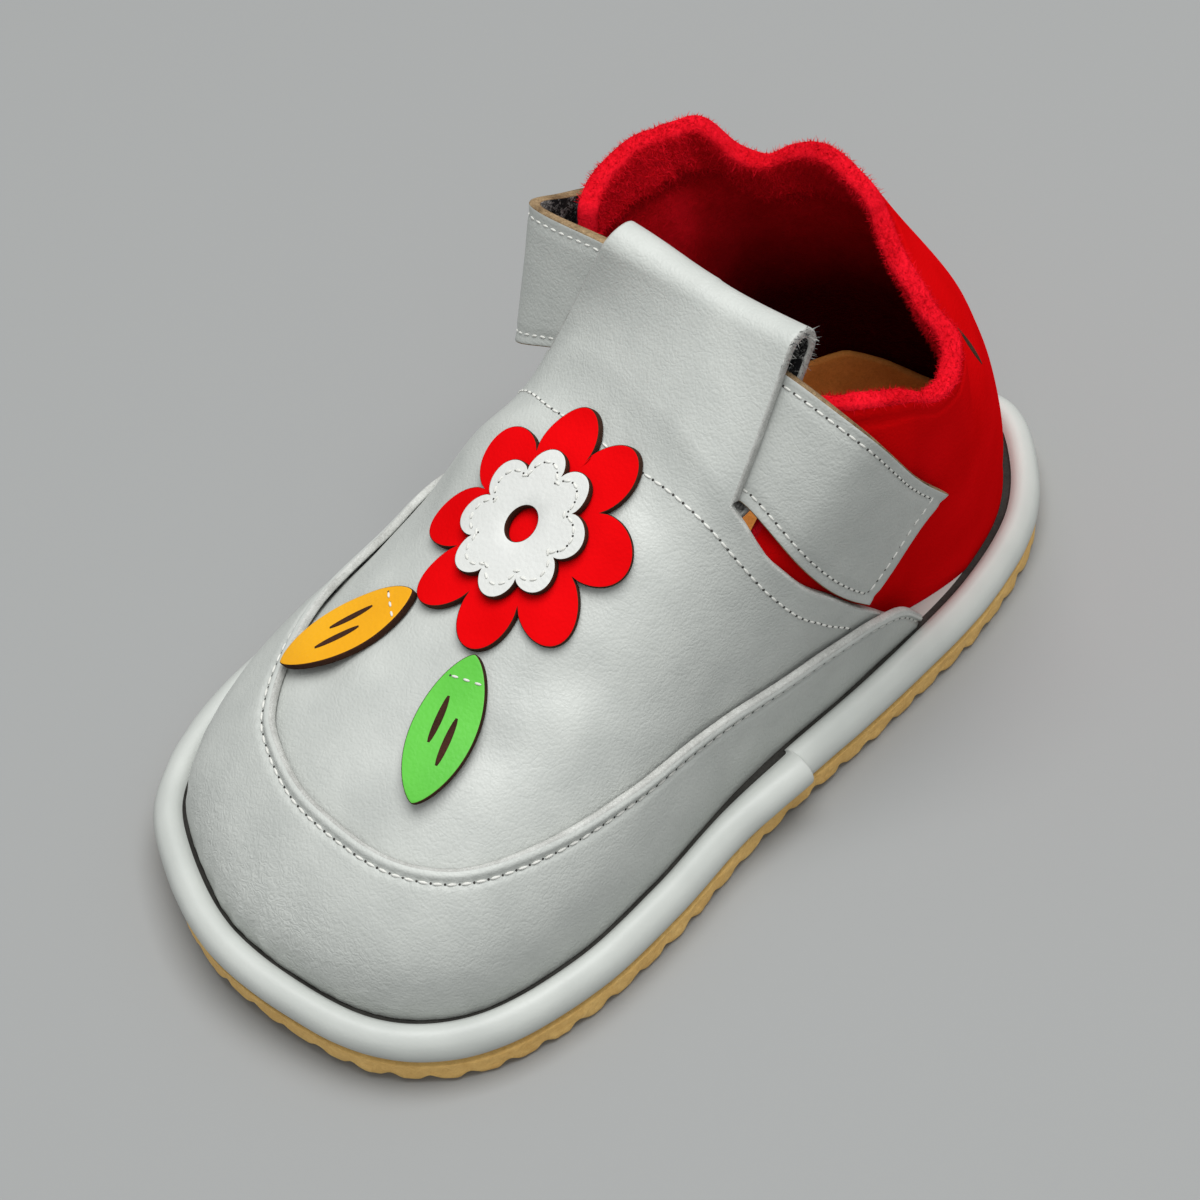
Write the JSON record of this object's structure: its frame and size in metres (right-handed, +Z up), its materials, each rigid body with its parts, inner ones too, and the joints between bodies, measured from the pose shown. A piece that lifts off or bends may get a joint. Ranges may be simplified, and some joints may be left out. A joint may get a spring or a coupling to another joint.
{
  "type": "toddler barefoot shoe",
  "caption": "Toddler's leather barefoot shoe with a folded tongue, a strap through it, a gathered heel quarter and a thin ribbed sole; stands empty on its sole.",
  "frame": {"origin": "on the floor, under the middle of the shoe's outline", "axes": "+Y from toe to heel, +X towards the inner side of the foot, +Z up from the floor"},
  "size_m": [0.079, 0.15, 0.0745],
  "materials": {
    "gum_rubber": "matte honey coloured crepe sheet",
    "grey_leather": "soft pale grey leather with a fine grain",
    "camel_leather": "napped camel leather",
    "red_leather": "smooth red leather, napped on the inside",
    "white_leather": "smooth white leather",
    "yellow_leather": "smooth yellow leather",
    "green_leather": "smooth green leather",
    "dark_tape": "dark hook-and-loop tape"
  },
  "bodies": {
    "root": {"outsole": "gum_rubber", "wrapped_midsole": "grey_leather", "insole": "camel_leather", "upper_vamp": "grey_leather", "toe_panel": "grey_leather", "upper_heel": "red_leather", "strap": "grey_leather", "closure_tape": "dark_tape", "flower_petals": "red_leather", "flower_disc": "white_leather", "leaf_yellow": "yellow_leather", "leaf_green": "green_leather"}
  },
  "joints": []
}
